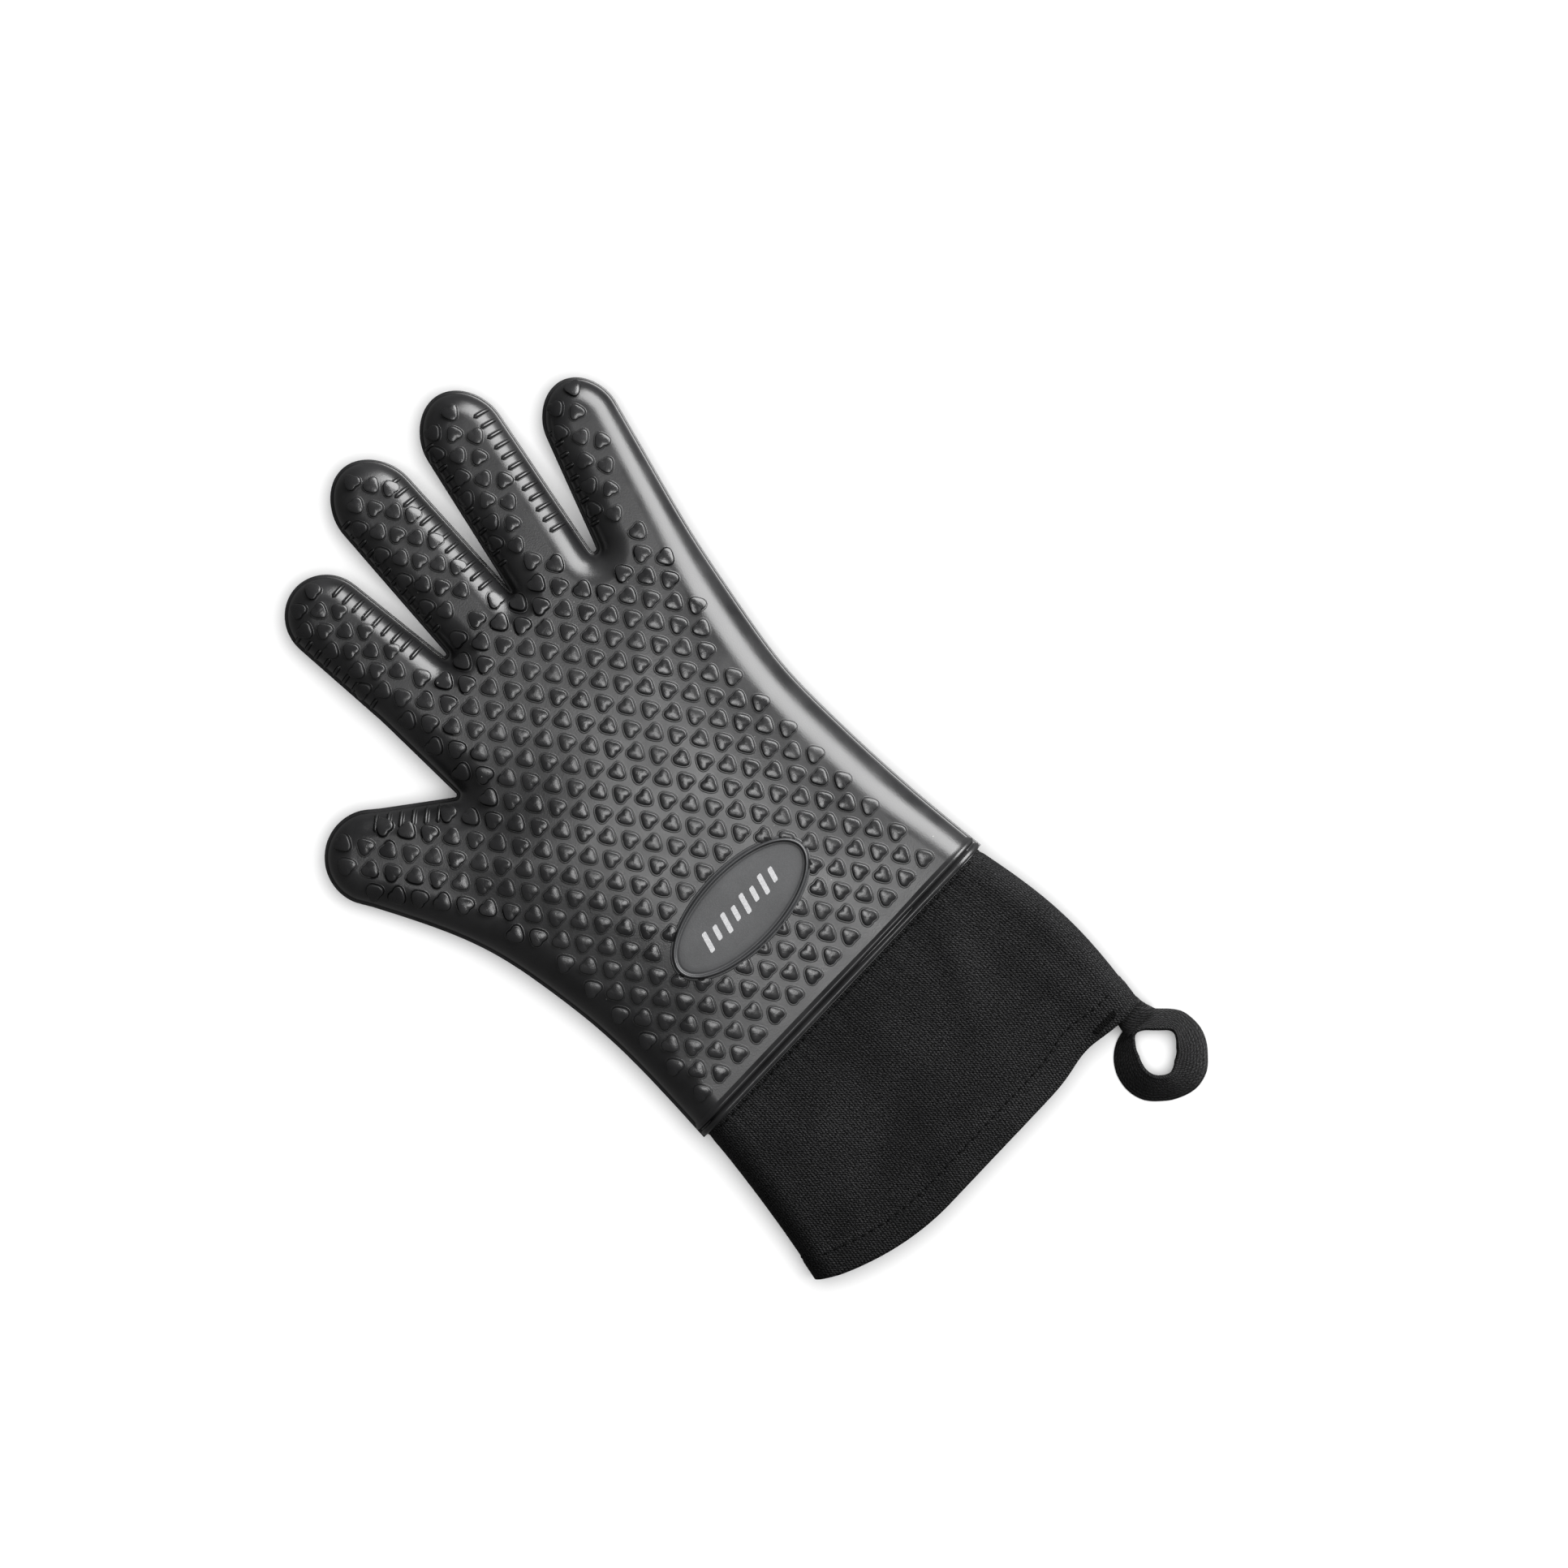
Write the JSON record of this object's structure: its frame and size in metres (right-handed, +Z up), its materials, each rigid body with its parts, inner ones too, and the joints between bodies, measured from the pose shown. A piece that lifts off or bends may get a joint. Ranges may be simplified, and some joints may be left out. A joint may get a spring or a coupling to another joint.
{
  "type": "heat resistant glove",
  "caption": "Heat resistant glove: textured silicone hand with bending fingers and thumb, textile liner, sewn canvas cuff and hanging loop.",
  "frame": {"origin": "on the underside of the silicone, on the centre line, where the cuff joins the hand", "axes": "+Y from the cuff to the fingertips, +X towards the little finger, +Z up out of the palm; the glove lies on the back of the hand"},
  "size_m": [0.2057, 0.3922, 0.03],
  "materials": {
    "silicone": "satin black moulded silicone",
    "liner": "matt dark cotton knit",
    "canvas": "matt black woven canvas",
    "thread": "black sewing thread",
    "tape": "matt black twill tape",
    "badge": "satin dark grey oval field with a raised rim"
  },
  "bodies": {
    "hand": {"palm_shell": "silicone", "palm_liner": "liner", "badge": "badge"},
    "index_base": {"index_base_shell": "silicone", "index_base_liner": "liner"},
    "index_tip": {"index_tip_shell": "silicone", "index_tip_liner": "liner"},
    "middle_base": {"middle_base_shell": "silicone", "middle_base_liner": "liner"},
    "middle_tip": {"middle_tip_shell": "silicone", "middle_tip_liner": "liner"},
    "ring_base": {"ring_base_shell": "silicone", "ring_base_liner": "liner"},
    "ring_tip": {"ring_tip_shell": "silicone", "ring_tip_liner": "liner"},
    "little_base": {"little_base_shell": "silicone", "little_base_liner": "liner"},
    "little_tip": {"little_tip_shell": "silicone", "little_tip_liner": "liner"},
    "thumb_base": {"thumb_base_shell": "silicone", "thumb_base_liner": "liner"},
    "thumb_tip": {"thumb_tip_shell": "silicone", "thumb_tip_liner": "liner"},
    "cuff": {"cuff_palm_panel": "canvas", "cuff_back_panel": "canvas", "cuff_lining": "liner", "seam_thread_palm": "thread", "seam_thread_back": "thread", "hem_thread_palm": "thread", "hem_thread_back": "thread", "loop_neck": "tape", "bartack": "thread"},
    "loop": {"loop": "tape"}
  },
  "joints": [
    {"name": "index_root_bend", "type": "hinge", "parent": "hand", "child": "index_base", "pos_m": [-0.02907, 0.19849, 0.02493], "axis": [0.9981, 0.061, 0], "range_deg": [0, 80], "stiffness_Nm_per_rad": 0.05},
    {"name": "index_middle_bend", "type": "hinge", "parent": "index_base", "child": "index_tip", "pos_m": [-0.03053, 0.22244, 0.02264], "axis": [0.9981, 0.061, 0], "range_deg": [0, 85], "stiffness_Nm_per_rad": 0.04},
    {"name": "middle_root_bend", "type": "hinge", "parent": "hand", "child": "middle_base", "pos_m": [0.00734, 0.19898, 0.02508], "axis": [0.9962, -0.0872, 0], "range_deg": [0, 80], "stiffness_Nm_per_rad": 0.05},
    {"name": "middle_middle_bend", "type": "hinge", "parent": "middle_base", "child": "middle_tip", "pos_m": [0.01004, 0.22986, 0.02292], "axis": [0.9962, -0.0872, 0], "range_deg": [0, 85], "stiffness_Nm_per_rad": 0.04},
    {"name": "ring_root_bend", "type": "hinge", "parent": "hand", "child": "ring_base", "pos_m": [0.04189, 0.19583, 0.02507], "axis": [0.9724, -0.2334, 0], "range_deg": [0, 80], "stiffness_Nm_per_rad": 0.05},
    {"name": "ring_middle_bend", "type": "hinge", "parent": "ring_base", "child": "ring_tip", "pos_m": [0.04889, 0.22501, 0.0229], "axis": [0.9724, -0.2334, 0], "range_deg": [0, 85], "stiffness_Nm_per_rad": 0.04},
    {"name": "little_root_bend", "type": "hinge", "parent": "hand", "child": "little_base", "pos_m": [0.07599, 0.17966, 0.02496], "axis": [0.9426, -0.3338, 0], "range_deg": [0, 80], "stiffness_Nm_per_rad": 0.05},
    {"name": "little_middle_bend", "type": "hinge", "parent": "little_base", "child": "little_tip", "pos_m": [0.084, 0.20228, 0.02279], "axis": [0.9426, -0.3338, 0], "range_deg": [0, 85], "stiffness_Nm_per_rad": 0.04},
    {"name": "thumb_root_bend", "type": "hinge", "parent": "hand", "child": "thumb_base", "pos_m": [-0.0695, 0.13993, 0.02473], "axis": [0.7771, 0.6293, 0], "range_deg": [0, 55], "stiffness_Nm_per_rad": 0.05},
    {"name": "thumb_middle_bend", "type": "hinge", "parent": "thumb_base", "child": "thumb_tip", "pos_m": [-0.08146, 0.1547, 0.02229], "axis": [0.7771, 0.6293, 0], "range_deg": [0, 70], "stiffness_Nm_per_rad": 0.04},
    {"name": "cuff_fold", "type": "hinge", "parent": "hand", "child": "cuff", "pos_m": [0, -0.0042, 0.0265], "axis": [-1, 0, 0], "range_deg": [0, 40], "stiffness_Nm_per_rad": 0.06},
    {"name": "loop_swing", "type": "hinge", "parent": "cuff", "child": "loop", "pos_m": [0.0653, -0.0915, 0.0105], "axis": [-1, 0, 0], "range_deg": [0, 90]}
  ]
}
